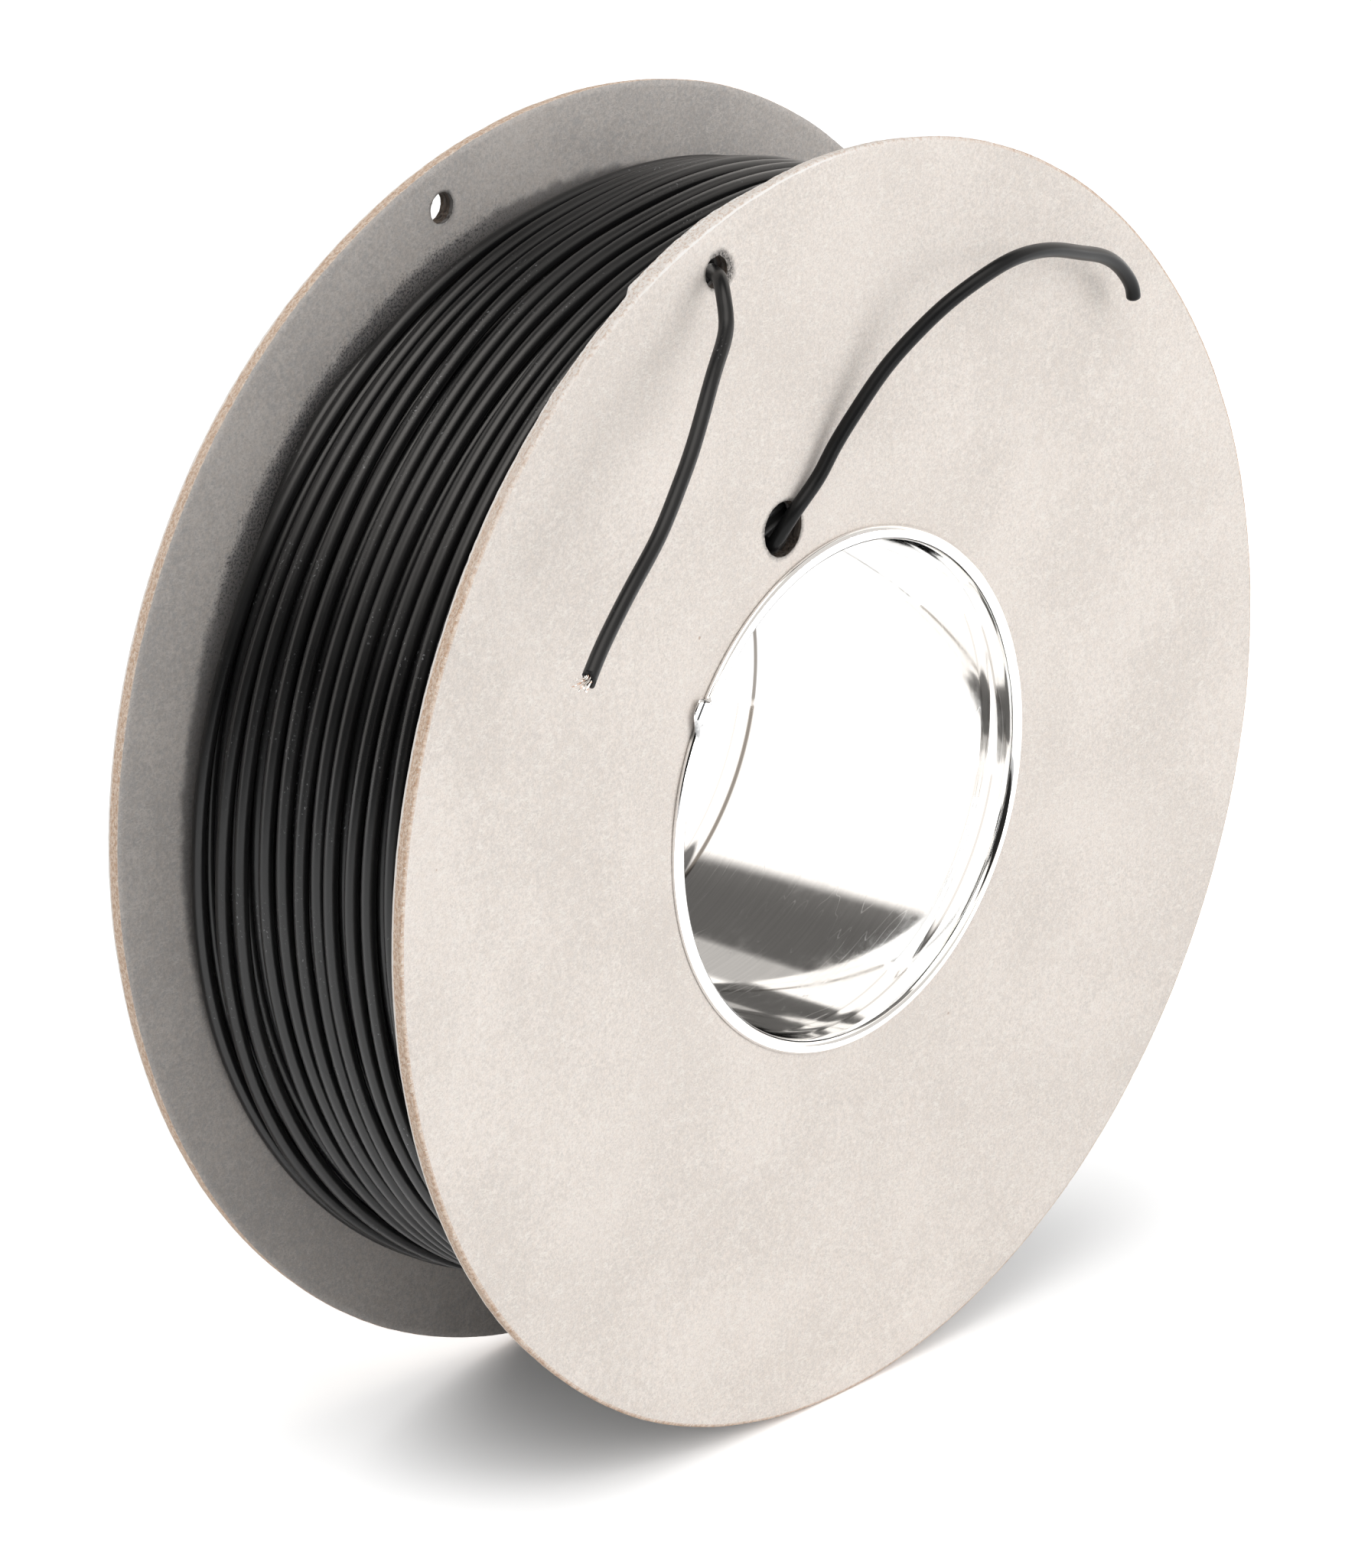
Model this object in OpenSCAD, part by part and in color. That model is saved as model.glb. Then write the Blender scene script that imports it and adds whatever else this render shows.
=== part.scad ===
// Wire reel: two die-cut greyboard discs clamped on a seamed tinplate tube, wound
// full of insulated equipment wire, with both wire ends led out through the near disc.
// Millimetres. The reel's axis is Y, the near disc faces -Y and +Z is up.
// The origin is the middle of the bore, half way between the two discs.

/* [Flanges] */
// Diameter of each board disc
flange_d = 140; // [132:1:160]
// Thickness of the board
board_t = 1.8; // [1.5:0.1:2.4]
// Clear width between the two discs
traverse_w = 36.4; // [34:0.2:44]
// Chamfer that the cutting die leaves on the rim of a disc
rim_chamfer = 0.15; // [0.05:0.05:0.3]
// Chamfer that the tube presses into the edge of a disc's centre hole
seat_chamfer = 0.3; // [0.25:0.05:0.5]

/* [Lead holes] */
// Width of board left between a disc's centre hole and its inner lead hole
inner_hole_land = 3; // [2:0.5:6]
// Diameter of the inner lead hole
inner_hole_d = 6; // [5.8:0.2:7]
// Distance from a disc's rim to the middle of its outer lead hole
outer_hole_edge = 5; // [4:0.5:6]
// Diameter of the outer lead hole
outer_hole_d = 3.4; // [3.2:0.1:4.4]
// Angle of the line of lead holes, from straight up towards -X
hole_angle = 19.4; // [17:0.2:22]

/* [Core tube] */
// Diameter of the bore
bore_d = 54.2; // [52:0.2:55]
// Thickness of the tinplate
sheet_t = 0.3; // [0.25:0.05:0.35]
// Outer radius of the roll that clamps a disc from outside
curl_r = 0.77; // [0.7:0.01:0.9]
// Outer radius of the bead that backs a disc from inside
bead_r = 1.05; // [1:0.05:1.15]
// How far the centre of the bead's arc stands out from the wall
bead_rise = 0.2; // [0.1:0.05:0.3]
// Mid-sheet radius of the bends on each side of a bead
bead_blend = 0.45; // [0.4:0.05:0.5]
// Angle of the lock seam, from straight up towards -X
seam_angle = 57; // [50:1:120]
// Width of the folded lock seam
seam_w = 3.2; // [2.6:0.2:4]
// Angle that the lapped sheet covers on each roll
lap_angle = 6; // [4:1:8]

/* [Winding] */
// Diameter of the wire over its insulation
wire_d = 1.6; // [1.4:0.05:1.65]
// Depth from the discs' rims down to the outermost turns
winding_depth = 9.3; // [8:0.1:12]
// Number of turns in the outermost layer
outer_loops = 16; // [12:1:16]
// Clear gap between the winding and each disc
side_gap = 0.3; // [0.2:0.05:0.5]
// Depth that the outermost layer's first turn starts below the layer
climb_depth = 2.6; // [1.8:0.2:3]
// Bend radius of the wire where it turns into the outer lead hole
lead_bend_r = 3; // [2.6:0.1:3.4]
// Angle between the wire and the disc's face where it passes the outer lead hole
lead_angle = 60; // [58:1:66]

/* [Conductor] */
// Diameter of one tinned copper strand
strand_d = 0.2; // [0.15:0.01:0.21]
// Length of the strands bared at the outer end
strand_l = 1.5; // [1:0.1:3]
// Angle that the outermost strands splay to
strand_splay = 24; // [10:1:35]

/* [Hidden] */

round_fn = 96;
hole_fn = 48;
strand_fn = 16;
overcut = 1;
// Clearance where a rolled or folded edge of the tube lies against its neighbour
seat_gap = 0.05;
// Radial clearance between the tube and what is slipped over it
tube_gap = 0.1;

// Steps along the arcs of the rolled sheet
bead_steps = 12;
blend_steps = 4;
curl_steps = 10;

flange_r = flange_d / 2;
face_at = traverse_w / 2 + board_t;
bore_r = bore_d / 2;
tube_r = bore_r + sheet_t;
wall_r = bore_r + sheet_t / 2;
flange_bore_r = tube_r + tube_gap;
inner_hole_at = flange_bore_r + inner_hole_land + inner_hole_d / 2;
outer_hole_at = flange_r - outer_hole_edge;

// Beads: mid-sheet radius, place along the axis and half the distance of its two bends
bead_mid = bead_r - sheet_t / 2;
bead_at = traverse_w / 2 - bead_r - seat_gap;
bend_off = sqrt(pow(bead_mid + bead_blend, 2) - pow(bead_blend - bead_rise, 2));
bend_turn = atan2(bend_off, bead_rise - bead_blend);
bead_top_r = wall_r + bead_rise + bead_r;
// The lock seam adds three thicknesses of sheet, and the lap follows a roll this far round
seam_top_r = tube_r + 3 * sheet_t;
lap_turn = 140;
seam_relief = 0.4;
curl_mid = curl_r - sheet_t / 2;
curl_at = face_at + seat_gap;

// Winding
wire_r = wire_d / 2;
loop_rings = 24;
loop_sides = 6;
ring_step = 360 / loop_rings;
turn_r = flange_r - winding_depth - wire_r;
core_r = turn_r * cos(ring_step / 2) - wire_r - seat_gap;
core_half = traverse_w / 2 - side_gap;
turn_end = traverse_w / 2 - side_gap - wire_r;
loop_pitch = 2 * turn_end / outer_loops;
climb_rings = 2;
climb_gap = 0.3;

// Outer lead: the turn leaves the winding along its tangent, straight to the hole
lead_tangent = sqrt(pow(outer_hole_at, 2) - pow(turn_r, 2));
leave_angle = hole_angle - acos(turn_r / outer_hole_at);
// Straight run through the hole, in wire diameters
run_wires = 1.5;
// Share of the tangent run after which the lead, then clear above the turn beside it,
// starts to cross over that turn
cross_share = 0.42;
hole_run = run_wires * wire_d;
bend_end = lead_tangent - hole_run * cos(lead_angle);
bend_start = bend_end - lead_bend_r * sin(lead_angle);
bend_depth = lead_bend_r * (1 - cos(lead_angle)) + hole_run * sin(lead_angle);
lead_y = -(traverse_w + board_t) / 2;
cross_from = cross_share * bend_start;
lead_steps = 5;
bend_steps = 4;

// Free wire ends
cord_sides = 8;
// The outer end starts half way through the board, in line with the lead
exit_run = 1.85;
outer_exit = turn_point(hole_angle, outer_hole_at, lead_y);
exit_along = cos(lead_angle) * leave_along() + [0, -sin(lead_angle), 0];
outer_route = [
    outer_exit,
    outer_exit + exit_run * exit_along,
    [-23.5, -22, 61.3],
    [-24.5, -23.2, 60.6],
    [-25.3, -24.2, 59.4],
    [-26, -25, 58],
    [-27.5, -26, 56.6],
    [-30, -27.2, 54.9],
    [-34, -29, 51.5],
    [-37.5, -30.2, 47.6],
    [-40.5, -31.2, 45],
    [-44.5, -32.3, 41.5],
    [-49.5, -33.5, 38.2],
    [-54, -34.5, 35],
    [-57, -35.2, 32.6],
    [-59, -35.7, 30.7]
];
inner_route = [
    [-11.6, -core_half, 29.8],
    [-11.6, -18.8, 29.8],
    [-11.3, -19.6, 30.8],
    [-10.9, -20.3, 32.2],
    [-10.1, -20.9, 33.7],
    [-8.3, -21.2, 35.4],
    [-6.9, -21.5, 37],
    [-5.6, -21.7, 38.8],
    [-4.1, -22.1, 40.9],
    [-2.3, -22.7, 43.3],
    [0.9, -23.8, 47.2],
    [3.8, -25.2, 50.3],
    [6.8, -26.9, 53.2],
    [10.1, -28.3, 55.3],
    [13.6, -29.1, 56.6],
    [18.5, -28.9, 56.7],
    [23.4, -28.1, 55.8],
    [29.7, -26.7, 53.9],
    [34.9, -25.5, 52.2],
    [38.2, -24.8, 50.5],
    [40.6, -24.3, 48.6],
    [42, -24, 46.9],
    [42.5, -23.8, 45.8]
];
strand_rings = [[1, 0], [5, 1.1], [10, 2.15]];
strand_lift = 0.05;
// Share of its length that the shortest strand lacks
strand_ragged = 0.3;

// ---- helpers ----

// Point [x, z] at radius r and at an angle from straight up towards -X
function at_angle(r, angle) = [-r * sin(angle), r * cos(angle)];
function unit(v) = v / norm(v);
function arc(centre, r, from, to, steps) =
    [for (i = [0 : steps]) let (a = from + (to - from) * i / steps) centre + r * [cos(a), sin(a)]];
function reverse(list) = [for (i = [len(list) - 1 : -1 : 0]) list[i]];

// Direction of the path at point i: along the chord of its neighbours, square at the ends
function heading(path, i) =
    let (last = len(path) - 1) unit(path[min(i + 1, last)] - path[max(i - 1, 0)]);

// Part of v that is square to the unit direction t, at unit length
function square_to(v, t) = unit(v - (v * t) * t);

// Side vectors carried along the path without twist, starting from the vector side
function carried(path, side) =
    [for (i = 0, n = square_to(side, heading(path, 0)); i < len(path);
        i = i + 1, n = i < len(path) ? square_to(n, heading(path, i)) : n) n];

// Rings of points round the path, one ring to each point
function rings(path, side, r, sides) =
    let (normals = carried(path, side))
    [for (i = [0 : len(path) - 1])
        let (n = normals[i], b = cross(heading(path, i), n))
        for (k = [0 : sides - 1]) path[i] + r * (cos(360 * k / sides) * n + sin(360 * k / sides) * b)];

// Triangles between neighbouring rings, and one flat face over each end
function ring_faces(count, sides) = concat(
    [[for (k = [sides - 1 : -1 : 0]) k]],
    [for (i = [0 : count - 2]) for (k = [0 : sides - 1])
        let (a = i * sides + k, b = i * sides + (k + 1) % sides) each
        [[a, b, a + sides], [b, b + sides, a + sides]]],
    [[for (k = [0 : sides - 1]) (count - 1) * sides + k]]
);

// Unbroken tube of radius r along the path
module tube_along(path, side, r, sides) {
    polyhedron(rings(path, side, r, sides), [for (f = ring_faces(len(path), sides)) reverse(f)]);
}

// Turns its children so that their Z axis runs along the reel's axis
module on_axis() {
    rotate([90, 0, 0])
        children();
}

// ---- flanges ----

module flange_profile() {
    polygon([
        [flange_bore_r + seat_chamfer, 0],
        [flange_r - rim_chamfer, 0],
        [flange_r, rim_chamfer],
        [flange_r, board_t - rim_chamfer],
        [flange_r - rim_chamfer, board_t],
        [flange_bore_r + seat_chamfer, board_t],
        [flange_bore_r, board_t - seat_chamfer],
        [flange_bore_r, seat_chamfer]
    ]);
}

module lead_hole(at, d) {
    rotate([0, -hole_angle, 0])
        translate([0, 0, at])
            rotate([90, 0, 0])
                cylinder(h = board_t + 2 * overcut, d = d, center = true, $fn = hole_fn);
}

module flange() {
    color([0.87, 0.85, 0.82])
        difference() {
            translate([0, face_at, 0])
                on_axis()
                    rotate_extrude($fn = round_fn)
                        flange_profile();
            translate([0, face_at - board_t / 2, 0]) {
                lead_hole(inner_hole_at, inner_hole_d);
                lead_hole(outer_hole_at, outer_hole_d);
            }
        }
}

module far_flange() {
    flange();
}

module near_flange() {
    mirror([0, 1, 0])
        flange();
}

// ---- core tube ----

// One face of the formed sheet from the middle of the tube to its rolled end:
// side is 1 for the face that the wire lies on and -1 for the bore's face
function sheet_face(side) =
    let (shift = side * sheet_t / 2)
    concat(
        arc([wall_r + bead_blend, bead_at - bend_off], bead_blend - shift, 180, bend_turn, blend_steps),
        arc([wall_r + bead_rise, bead_at], bead_mid + shift, bend_turn - 180, 180 - bend_turn, bead_steps),
        arc([wall_r + bead_blend, bead_at + bend_off], bead_blend - shift, 360 - bend_turn, 180, blend_steps),
        arc([wall_r + curl_mid, curl_at], curl_mid - shift, 180, 0, curl_steps)
    );

function both_ends(face) = concat([for (p = reverse(face)) [p[0], -p[1]]], face);

module sheet_profile() {
    polygon(concat(both_ends(sheet_face(1)), reverse(both_ends(sheet_face(-1)))));
}

// Second layer of sheet on the roll, where the two edges of the blank lap: it reaches
// into the middle of the sheet below it, so that the two are one piece
module lap_profile() {
    polygon(concat(
        arc([wall_r + curl_mid, curl_at], curl_mid, lap_turn, 0, curl_steps),
        arc([wall_r + curl_mid, curl_at], curl_r + sheet_t, 0, lap_turn, curl_steps)
    ));
}

// The blank's edges are hooked together and pressed flat on the outside of the tube,
// and the seam stops short of the beads
module lock_seam() {
    seam_l = 2 * (bead_at - bend_off - seam_relief);
    rotate([0, -seam_angle, 0])
        translate([-seam_w / 2, -seam_l / 2, bore_r + sheet_t / 2])
            cube([seam_w, seam_l, seam_top_r - bore_r - sheet_t / 2]);
}

module core_tube() {
    color([0.8, 0.81, 0.82]) {
        on_axis()
            rotate_extrude($fn = round_fn)
                sheet_profile();
        lock_seam();
        for (end = [0, 1])
            mirror([0, end, 0])
                rotate([0, -seam_angle, 0])
                    on_axis()
                        rotate([0, 0, 90 - lap_angle / 2])
                            rotate_extrude(angle = lap_angle, $fn = round_fn)
                                lap_profile();
    }
}

// ---- wire ----

// Centre line of the outermost layer: out of the layer below at the far disc, round
// and round to the near disc, then off the winding and through the outer lead hole
function turn_point(angle, r, y) = let (p = at_angle(r, angle)) [p[0], y, p[1]];
function climb_points() = [for (i = [0 : climb_rings - 1])
    turn_point(leave_angle - (climb_rings - i) * ring_step,
        turn_r - climb_depth * (climb_rings - i) / climb_rings, turn_end)];
function loop_points() = [for (i = [0 : outer_loops * loop_rings])
    turn_point(leave_angle + i * ring_step, turn_r, turn_end - loop_pitch * i / loop_rings)];

function leave_point() = turn_point(leave_angle, turn_r, 0);
function leave_along() = [-cos(leave_angle), 0, -sin(leave_angle)];
function cross_over(s) = s < cross_from ? 0
    : (1 - cos(180 * (s - cross_from) / (bend_start - cross_from))) / 2;
function lead_points() = [for (i = [1 : lead_steps])
    let (s = bend_start * i / lead_steps, y = -turn_end + (lead_y + bend_depth + turn_end) * cross_over(s))
    leave_point() + s * leave_along() + [0, y, 0]];
function bend_points() = [for (i = [1 : bend_steps])
    let (a = lead_angle * i / bend_steps)
    leave_point() + (bend_start + lead_bend_r * sin(a)) * leave_along()
        + [0, lead_y + bend_depth - lead_bend_r * (1 - cos(a)), 0]];

outer_path = concat(climb_points(), loop_points(), lead_points(), bend_points(), [outer_exit]);

// Least gap between the tube's surface and any other turn of it
function least_gap(path, apart) = min([for (i = [0 : len(path) - 1 - apart])
    min([for (j = [i + apart : len(path) - 1]) norm(path[i] - path[j])])]) - wire_d;
echo(least_gap_between_turns = least_gap(outer_path, loop_rings / 2));

module outer_turns() {
    color([0.13, 0.13, 0.13])
        tube_along(outer_path, [0, 1, 0], wire_r, loop_sides);
}

// Room in the layers below for the outermost layer's first stretch
module climb_pocket() {
    for (i = [0 : climb_rings - 1]) {
        from = outer_path[i];
        to = outer_path[i + 1];
        depth = wire_r + climb_gap;
        translate(from)
            rotate([0, -atan2(to[2] - from[2], to[0] - from[0]), 0])
                translate([0, -depth, -depth - climb_depth])
                    cube([norm(to - from) + depth, 2 * depth + traverse_w, 2 * depth + climb_depth]);
    }
}

module wound_layers() {
    bead_edge = bead_at - bend_off - seat_gap;
    color([0.1, 0.1, 0.1])
        difference() {
            on_axis()
                rotate_extrude($fn = round_fn)
                    polygon([
                        [tube_r + tube_gap, -bead_edge],
                        [bead_top_r + tube_gap, -bead_edge],
                        [bead_top_r + tube_gap, -core_half],
                        [core_r, -core_half],
                        [core_r, core_half],
                        [bead_top_r + tube_gap, core_half],
                        [bead_top_r + tube_gap, bead_edge],
                        [tube_r + tube_gap, bead_edge]
                    ]);
            rotate([0, -seam_angle, 0])
                translate([-seam_w / 2 - tube_gap, -traverse_w / 2, 0])
                    cube([seam_w + 2 * tube_gap, traverse_w, seam_top_r + tube_gap]);
            climb_pocket();
        }
}

module inner_tail() {
    color([0.13, 0.13, 0.13])
        tube_along(inner_route, [1, 0, 0], wire_r, cord_sides);
}

module outer_tail() {
    color([0.13, 0.13, 0.13])
        tube_along(outer_route, [0, 0, 1], wire_r, cord_sides);
}

// A strand's length: every third one is whole and the others are a little shorter
function strand_length(k) = strand_l * (1 - strand_ragged * (k % 3) / 2);

module outer_strands() {
    last = len(outer_route) - 1;
    along = heading(outer_route, last);
    turn = atan2(along[1], along[0]);
    tilt = acos(along[2]);
    color([0.78, 0.76, 0.72])
        translate(outer_route[last])
            rotate([0, tilt, turn])
                for (ring = strand_rings)
                    for (k = [0 : ring[0] - 1])
                        rotate([0, 0, 360 * k / ring[0]])
                            translate([ring[1] * strand_d, 0, strand_lift])
                                rotate([0, strand_splay * ring[1] / strand_rings[2][1], 0])
                                    cylinder(h = strand_length(k), d = strand_d, $fn = strand_fn);
}

near_flange();
far_flange();
core_tube();
wound_layers();
outer_turns();
inner_tail();
outer_tail();
outer_strands();
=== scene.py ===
"""Wire reel: two board discs clamped on a tinplate tube and wound full of black wire.

Metres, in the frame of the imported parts: the reel's axis is Y, the near disc faces -Y and
+Z is up. Each section is one piece, or one group of like pieces, in the order in which the
reel is put together. The studio and the camera come last.
"""

import math

import bmesh
import bpy
import numpy as np
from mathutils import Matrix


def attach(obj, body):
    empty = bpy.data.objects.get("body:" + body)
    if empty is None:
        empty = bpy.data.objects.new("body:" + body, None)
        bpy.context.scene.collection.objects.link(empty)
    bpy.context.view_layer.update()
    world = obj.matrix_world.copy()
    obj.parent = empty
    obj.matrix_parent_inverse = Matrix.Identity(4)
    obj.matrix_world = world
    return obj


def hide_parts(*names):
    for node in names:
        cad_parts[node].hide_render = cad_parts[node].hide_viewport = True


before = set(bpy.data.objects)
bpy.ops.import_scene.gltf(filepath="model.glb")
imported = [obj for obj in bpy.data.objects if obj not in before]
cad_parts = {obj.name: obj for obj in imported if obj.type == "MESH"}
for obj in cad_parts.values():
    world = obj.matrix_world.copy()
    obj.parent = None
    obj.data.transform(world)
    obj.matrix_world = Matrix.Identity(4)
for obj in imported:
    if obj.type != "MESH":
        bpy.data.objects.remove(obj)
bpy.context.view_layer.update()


# ---- Board discs ----
# Two discs die-cut from 1.8 mm greyboard, a brown core of waste paper with a pale liner on
# both faces. Each has a centre hole that the tube clamps and two lead holes on one line.
# The die and the carton have frayed their rims, and the clamping has bent them a little.

disc_radius = 0.070
disc_bore_radius = 0.0275
board_thickness = 0.0018
disc_inner_face = 0.0182
lead_hole_angle = math.radians(19.4)
inner_hole_at, inner_hole_radius = 0.0335, 0.0030
outer_hole_at, outer_hole_radius = 0.0650, 0.0017
# The die's rounding and slant of the rim's far corner, and how far a rip stands out
die_round, die_slant, rip_reach = 0.0003, 0.0004, 0.0001
# Roughness of the cut rim: dents, the burr on its corners, the liner's lift and the fibres
fine_dent, broad_dent, burr_size, liner_lift = 0.00003, 0.00004, 0.00005, 0.00003
fine_fibre, broad_fibre, ripped_fibre = 0.00003, 0.00002, 0.00010
disc_columns = 1440
disc_levels = 0.001 * np.array(
    [27.8, 29, 31.25, 33.5, 35.75, 38, 44, 50, 56, 62, 63.5, 65, 66.5, 68, 68.8, 69.1, 69.86]
)
rim_level_gap = disc_radius - disc_levels[-1]
# Each lead hole's surroundings: first and last level, and half its width in columns
inner_window = (1, 5, 34)
outer_window = (9, 13, 12)
# Bend of each disc along its axis, in disc radii: tilt about Z, tilt about X, saddle, twist.
# It is eased in between two radii, outside the clamp.
bend_from, bend_full = 0.0285, 0.044
near_bend = (0.0007, -0.0049, -0.0057, -0.0030)
far_bend = (-0.0026, -0.0005, 0.0139, -0.0085)


def ease(low, high, value):
    """Smooth step: 0 below low, 1 above high, 3t^2 - 2t^3 between."""
    t = np.clip((value - low) / (high - low), 0, 1)
    return t * t * (3 - 2 * t)


def wrapped(turn):
    """The same angle, between -pi and pi."""
    return (turn + np.pi) % (2 * np.pi) - np.pi


def disc_bend(bend, x, z):
    """How far a bent disc's point (x, z) lies along Y from flat.

    A plane plus the two saddles x^2 - z^2 and 2xz in disc radii, eased in from the clamp.
    """
    u, w = x / disc_radius, z / disc_radius
    free = ease(bend_from, bend_full, np.hypot(x, z))
    plane = bend[0] * u + bend[1] * w
    return disc_radius * free * (plane + bend[2] * (u * u - w * w) + bend[3] * 2 * u * w)


def ring_noise(rng, knots, count):
    """Smooth random values from -1 to 1 round a closed ring: eased between random knots."""
    values = rng.uniform(-1, 1, knots)
    s = np.arange(count) * knots / count
    i = s.astype(int)
    t = s - i
    t = t * t * (3 - 2 * t)
    return values[i % knots] * (1 - t) + values[(i + 1) % knots] * t


def on_disc(radius, turn):
    """(x, z) at a radius and an angle from straight up towards -X."""
    return -radius * np.sin(turn), radius * np.cos(turn)


def run_length(points):
    """Distance along a line of points, from the first point to each."""
    steps = np.linalg.norm(np.diff(points, axis=0), axis=1)
    return np.concatenate([[0], np.cumsum(steps)])


def grid_uv(around, across):
    """UV of a grid from its columns' places round the piece and its rows' places across."""
    return np.stack(np.broadcast_arrays(around[None], across[:, None]), axis=-1)


def joined_mesh(sheets, weld=1e-7):
    """One closed mesh from grids of points, welded where their borders meet.

    A sheet is (points, uv, material, dropped): points is (rows, columns, 3) with columns
    that run right round, uv is (rows, columns + 1, 2), and dropped marks the quads left
    out, or is None. A quad is (i, k), (i+1, k), (i+1, k+1), (i, k+1).
    """
    points, quads, corners, slots, start = [], [], [], [], 0
    for grid, uv, material, dropped in sheets:
        rows, columns = grid.shape[:2]
        i, k = np.meshgrid(np.arange(rows - 1), np.arange(columns), indexing="ij")
        a, b = i * columns + k, i * columns + (k + 1) % columns
        quad = np.stack([a, a + columns, b + columns, b], axis=-1)
        corner = uv[np.stack([i, i + 1, i + 1, i], -1), np.stack([k, k, k + 1, k + 1], -1)]
        keep = np.ones(i.shape, bool) if dropped is None else ~dropped
        points.append(grid.reshape(-1, 3))
        quads.append(quad[keep] + start)
        corners.append(corner[keep])
        slots.append(np.full(keep.sum(), material))
        start += rows * columns
    mesh = bpy.data.meshes.new("piece")
    mesh.from_pydata(np.concatenate(points), [], np.concatenate(quads).tolist())
    layer = mesh.uv_layers.new(name="UVMap")
    layer.data.foreach_set("uv", np.concatenate(corners).ravel().astype(np.float32))
    mesh.polygons.foreach_set("material_index", np.concatenate(slots).astype(np.int32))
    mesh.polygons.foreach_set("use_smooth", np.ones(len(mesh.polygons), bool))
    shell = bmesh.new()
    shell.from_mesh(mesh)
    bmesh.ops.remove_doubles(shell, verts=shell.verts, dist=weld)
    bmesh.ops.recalc_face_normals(shell, faces=shell.faces)
    shell.to_mesh(mesh)
    shell.free()
    return mesh


def place(name, mesh, materials, replaced):
    """Puts a mesh in the scene as a piece that rides on the reel, with its finish's slot."""
    mesh.name = name
    for material in materials:
        mesh.materials.append(material)
    piece = bpy.data.objects.new(name, mesh)
    bpy.context.scene.collection.objects.link(piece)
    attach(piece, "root")
    if replaced:
        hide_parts(*replaced)
    return piece


def hole_window(levels, turns, window, at, radius, outline):
    """Border of a lead hole's window on the polar grid, and the hole's outline facing it.

    Both are (points, 2) arrays of x and z in the same order round the hole: the outline's
    point lies on the line from the hole's middle to the border's point.
    """
    first, last, half = window
    columns = np.arange(-half, half + 1)
    rows = np.arange(first, last + 1)
    side = np.full(len(rows) - 1, half)
    i = np.concatenate([np.full(2 * half, first), rows[:-1], np.full(2 * half, last), rows[:0:-1]])
    k = np.concatenate([columns[:-1], side, columns[:0:-1], -side])
    border = np.stack(on_disc(levels[i], turns[k]), axis=-1)
    middle = np.array(on_disc(at, lead_hole_angle))
    away = border - middle
    away /= np.linalg.norm(away, axis=1, keepdims=True)
    return border, middle + away * (radius * (1 + outline))[:, None]


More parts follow.
